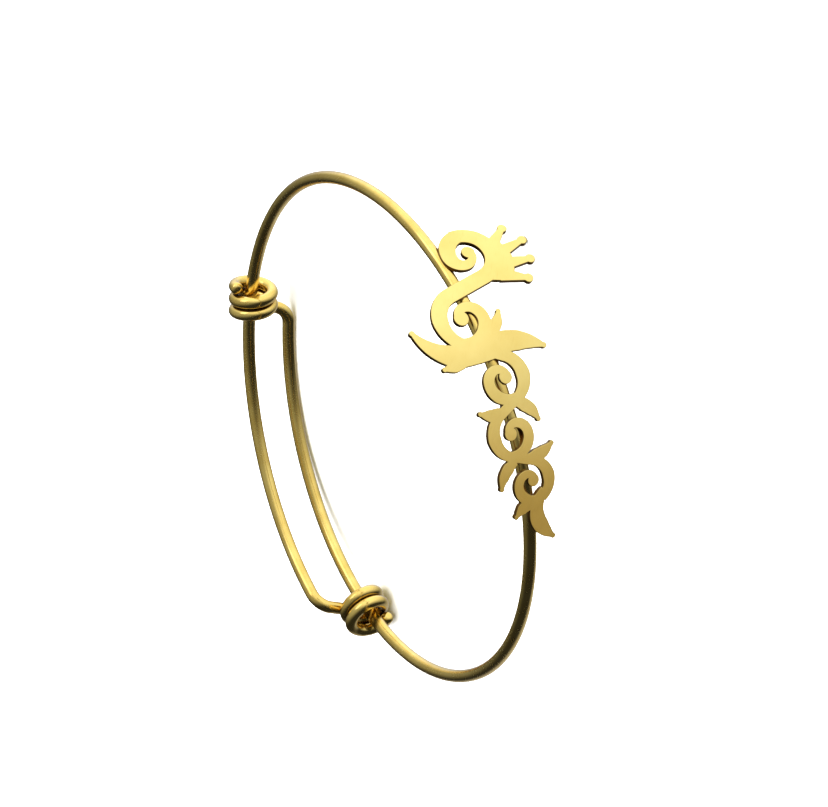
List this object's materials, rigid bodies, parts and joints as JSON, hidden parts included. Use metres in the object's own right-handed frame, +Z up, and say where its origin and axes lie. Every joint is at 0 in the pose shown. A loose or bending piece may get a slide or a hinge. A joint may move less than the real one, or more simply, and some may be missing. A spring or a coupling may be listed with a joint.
{
  "type": "nameplate bangle bracelet",
  "caption": "Open slide bangle of round gold-coloured wire with coil-wrapped overlapping ends and a pierced scroll plate under a small crown soldered on its front.",
  "frame": {"origin": "middle of the base of the bounding box, on the table that the bangle lies on", "axes": "+Z up from the table, near the axis that the wrist goes through; -Y towards the plate; +X to the right of someone who faces the plate, towards the crown's end"},
  "size_m": [0.0656, 0.0664, 0.0201],
  "materials": {
    "gold": "polished wire, satin plate"
  },
  "bodies": {
    "root": {"nameplate_bangle": "gold"}
  },
  "joints": []
}
